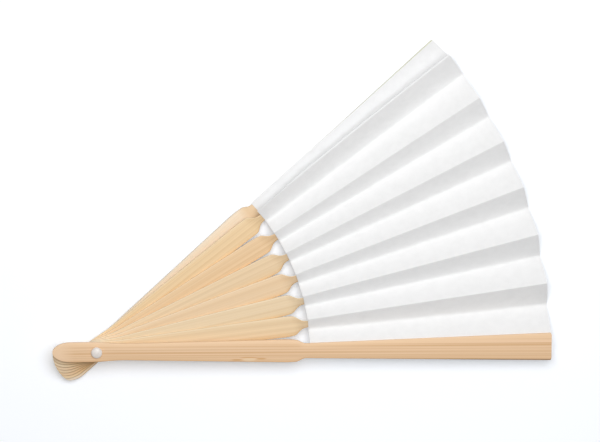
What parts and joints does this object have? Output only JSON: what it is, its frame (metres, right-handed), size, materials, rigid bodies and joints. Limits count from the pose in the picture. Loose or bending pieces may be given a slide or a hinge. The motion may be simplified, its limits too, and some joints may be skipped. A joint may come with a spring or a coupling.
{
  "type": "folding paper hand fan",
  "caption": "Folding hand fan: a pleated paper leaf glued on bamboo ribs between two guards, turning on one rivet.",
  "frame": {"origin": "middle of the flat back face of the rivet's cap, on the pivot axis of the sticks", "axes": "+X along the front guard from the pivot to its tip, +Z along the pivot axis towards the rivet's head, so the fan opens counter-clockwise towards +Y"},
  "size_m": [0.2302, 0.1566, 0.0217],
  "materials": {
    "bamboo": "satin planed bamboo, pale honey with fine straight grain",
    "guard_bamboo": "satin planed bamboo, warmer than the ribs",
    "paper": "matte plain white paper",
    "white_plastic": "semi-gloss white plastic"
  },
  "bodies": {
    "front": {"front_guard": "guard_bamboo", "rivet_pin": "white_plastic", "rivet_cap": "white_plastic", "leaf_panel_front": "paper", "leaf_fold_1": "paper"},
    "stick_1": {"rib_1": "bamboo", "leaf_panel_1": "paper", "leaf_fold_2": "paper"},
    "stick_2": {"rib_2": "bamboo", "leaf_panel_2": "paper", "leaf_fold_3": "paper"},
    "stick_3": {"rib_3": "bamboo", "leaf_panel_3": "paper", "leaf_fold_4": "paper"},
    "stick_4": {"rib_4": "bamboo", "leaf_panel_4": "paper", "leaf_fold_5": "paper"},
    "stick_5": {"rib_5": "bamboo", "leaf_panel_5": "paper", "leaf_fold_6": "paper"},
    "stick_6": {"rib_6": "bamboo", "leaf_panel_6": "paper", "leaf_fold_7": "paper"},
    "rear": {"rear_guard": "guard_bamboo", "leaf_panel_rear": "paper"}
  },
  "joints": [
    {"name": "fold_1", "type": "hinge", "parent": "front", "child": "stick_1", "pos_m": [0, 0, 0], "axis": [0, 0, 1], "range_deg": [-6.85, 0], "deforming": ["leaf_fold_1"]},
    {"name": "fold_2", "type": "hinge", "parent": "stick_1", "child": "stick_2", "pos_m": [0, 0, 0], "axis": [0, 0, 1], "range_deg": [-6.29, 0], "deforming": ["leaf_fold_2"]},
    {"name": "fold_3", "type": "hinge", "parent": "stick_2", "child": "stick_3", "pos_m": [0, 0, 0], "axis": [0, 0, 1], "range_deg": [-6.29, 0], "deforming": ["leaf_fold_3"]},
    {"name": "fold_4", "type": "hinge", "parent": "stick_3", "child": "stick_4", "pos_m": [0, 0, 0], "axis": [0, 0, 1], "range_deg": [-6.29, 0], "deforming": ["leaf_fold_4"]},
    {"name": "fold_5", "type": "hinge", "parent": "stick_4", "child": "stick_5", "pos_m": [0, 0, 0], "axis": [0, 0, 1], "range_deg": [-6.29, 0], "deforming": ["leaf_fold_5"]},
    {"name": "fold_6", "type": "hinge", "parent": "stick_5", "child": "stick_6", "pos_m": [0, 0, 0], "axis": [0, 0, 1], "range_deg": [-6.29, 0], "deforming": ["leaf_fold_6"]},
    {"name": "fold_7", "type": "hinge", "parent": "stick_6", "child": "rear", "pos_m": [0, 0, 0], "axis": [0, 0, 1], "range_deg": [-2.29, 0], "deforming": ["leaf_fold_7"]}
  ],
  "couplings": [
    {"joint": "fold_2", "follows": "fold_1", "ratio": 0.91825},
    {"joint": "fold_3", "follows": "fold_1", "ratio": 0.91825},
    {"joint": "fold_4", "follows": "fold_1", "ratio": 0.91825},
    {"joint": "fold_5", "follows": "fold_1", "ratio": 0.91825},
    {"joint": "fold_6", "follows": "fold_1", "ratio": 0.91825},
    {"joint": "fold_7", "follows": "fold_1", "ratio": 0.33431}
  ]
}
